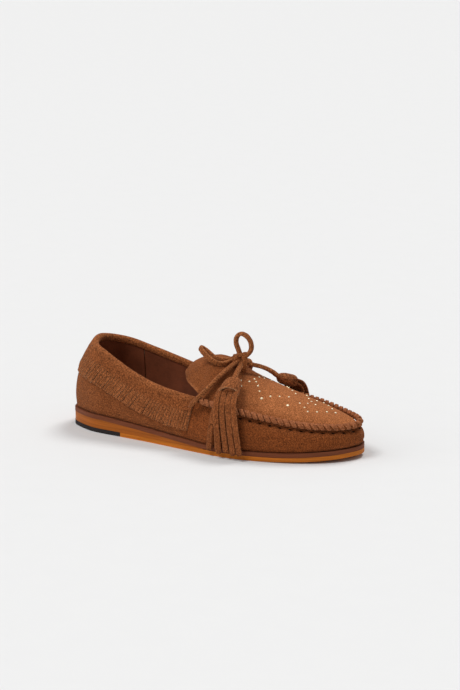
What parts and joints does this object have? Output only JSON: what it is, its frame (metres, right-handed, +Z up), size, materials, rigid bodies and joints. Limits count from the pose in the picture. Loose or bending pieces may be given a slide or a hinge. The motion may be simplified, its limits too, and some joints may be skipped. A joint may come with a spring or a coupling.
{
  "type": "moccasin",
  "caption": "Right-foot suede moccasin with a fringed collar, raised stitched plug seam, studded apron, and a bow lace ending in tassels.",
  "frame": {"origin": "on the ground, in the middle of the heel, level with the sole's resting face", "axes": "+X along the shoe to the toe, -Y to the outer side of the right foot, +Z up"},
  "size_m": [0.2554, 0.0977, 0.0903],
  "materials": {
    "suede": "napped suede",
    "suede_lace": "round suede thong",
    "seam_thread": "waxed thread",
    "lining_leather": "smooth dark leather",
    "textile_lining": "woven lining",
    "midsole": "matt edge",
    "wedge": "matt edge",
    "outsole": "satin edge",
    "heel_pad": "matt",
    "fibreboard": "pressed board",
    "foam": "open foam",
    "stiffener": "stiffened fabric",
    "stud_metal": "polished pale gold"
  },
  "bodies": {
    "shoe": {"outsole": "outsole", "heel_top_piece": "heel_pad", "heel_wedge": "wedge", "midsole": "midsole", "insole_board": "fibreboard", "footbed_foam": "foam", "sock_lining": "lining_leather", "vamp": "suede", "lateral_quarter": "suede", "medial_quarter": "suede", "back_stay": "suede", "heel_counter": "stiffener", "toe_puff": "stiffener", "heel_lining": "lining_leather", "lateral_lining": "lining_leather", "medial_lining": "lining_leather", "vamp_lining": "textile_lining", "topline_foam": "foam", "fringe_collar": "suede", "plug": "suede", "plug_lining": "textile_lining", "seam_roll": "suede", "seam_stitches": "seam_thread", "lateral_lace": "suede_lace", "medial_lace": "suede_lace", "upright_loop": "suede_lace", "rear_loop": "suede_lace", "bow_knot": "suede_lace", "studs": "stud_metal", "accent_studs": "stud_metal"},
    "lateral_drop_link": {"lateral_drop": "suede_lace"},
    "medial_drop_link": {"medial_drop": "suede_lace"},
    "lateral_tassel": {"lateral_tassel_cap": "suede", "lateral_tassel_strands": "suede", "lateral_tassel_core": "suede"},
    "medial_tassel": {"medial_tassel_cap": "suede", "medial_tassel_strands": "suede", "medial_tassel_core": "suede"}
  },
  "joints": [
    {"name": "lateral_drop_lift", "type": "hinge", "parent": "shoe", "child": "lateral_drop_link", "pos_m": [0.126, -0.0072, 0.065], "axis": [-1, 0, 0], "range_deg": [0, 50]},
    {"name": "lateral_tassel_swing", "type": "hinge", "parent": "lateral_drop_link", "child": "lateral_tassel", "pos_m": [0.1285, -0.0216, 0.0584], "axis": [0, 1, 0], "range_deg": [-15, 15]},
    {"name": "medial_drop_lift", "type": "hinge", "parent": "shoe", "child": "medial_drop_link", "pos_m": [0.1292, 0.0026, 0.0642], "axis": [1, 0, 0], "range_deg": [0, 40]},
    {"name": "medial_tassel_swing", "type": "hinge", "parent": "medial_drop_link", "child": "medial_tassel", "pos_m": [0.145, 0.0209, 0.0518], "axis": [0, 1, 0], "range_deg": [-15, 15]}
  ]
}
